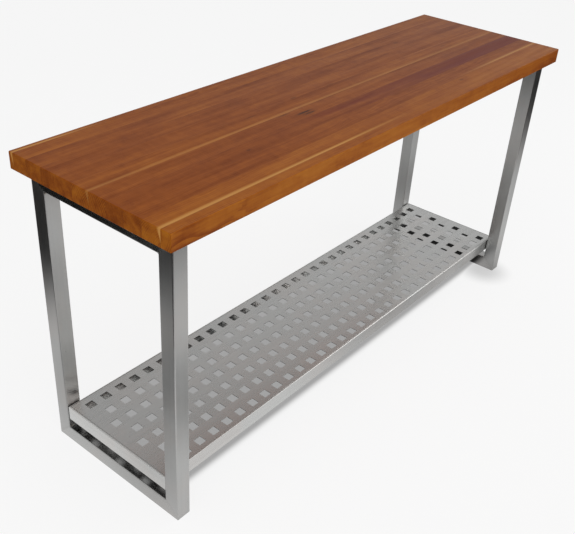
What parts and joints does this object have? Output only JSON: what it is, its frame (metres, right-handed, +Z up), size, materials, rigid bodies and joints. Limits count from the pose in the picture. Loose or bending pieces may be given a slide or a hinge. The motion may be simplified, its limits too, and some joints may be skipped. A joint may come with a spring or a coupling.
{
  "type": "butcher block table",
  "caption": "Kitchen work table: long edge-glued hardwood top on closed end frames of square steel tube, with a perforated sheet steel shelf slung low between the legs.",
  "frame": {"origin": "on the floor, under the middle of the table", "axes": "+X along the table's length to the right, +Y from the front to the back, +Z up"},
  "size_m": [1.829, 0.546, 0.886],
  "materials": {
    "cherry_light": "oiled edge-grain cherry, paler staves",
    "cherry_mid": "oiled edge-grain cherry",
    "cherry_dark": "oiled edge-grain cherry, darker staves",
    "frame_steel": "stainless tube, brushed along its length, mitres ground flush",
    "weld_steel": "weld bead, brushed over",
    "shelf_steel": "satin stainless sheet, brushed along its length",
    "fastener_steel": "plain stainless fasteners"
  },
  "bodies": {
    "root": {"top_stave_01": "cherry_light", "top_stave_02": "cherry_light", "top_stave_03": "cherry_mid", "top_stave_04": "cherry_dark", "top_stave_05": "cherry_mid", "top_stave_06": "cherry_light", "top_stave_07": "cherry_mid", "top_stave_08": "cherry_mid", "top_stave_09": "cherry_mid", "top_stave_10": "cherry_mid", "top_stave_11": "cherry_light", "leg_left_front": "frame_steel", "leg_left_back": "frame_steel", "leg_right_front": "frame_steel", "leg_right_back": "frame_steel", "top_rail_left": "frame_steel", "top_rail_right": "frame_steel", "floor_rail_left": "frame_steel", "floor_rail_right": "frame_steel", "weld_beads_left": "weld_steel", "weld_beads_right": "weld_steel", "shelf_deck": "shelf_steel", "shelf_edge_front": "shelf_steel", "shelf_edge_back": "shelf_steel", "shelf_edge_left": "shelf_steel", "shelf_edge_right": "shelf_steel", "top_screws": "fastener_steel", "top_screw_washers": "fastener_steel", "shelf_bolts": "fastener_steel", "shelf_bolt_washers": "fastener_steel", "shelf_spacers": "fastener_steel", "shelf_rivet_nuts": "fastener_steel"}
  },
  "joints": []
}
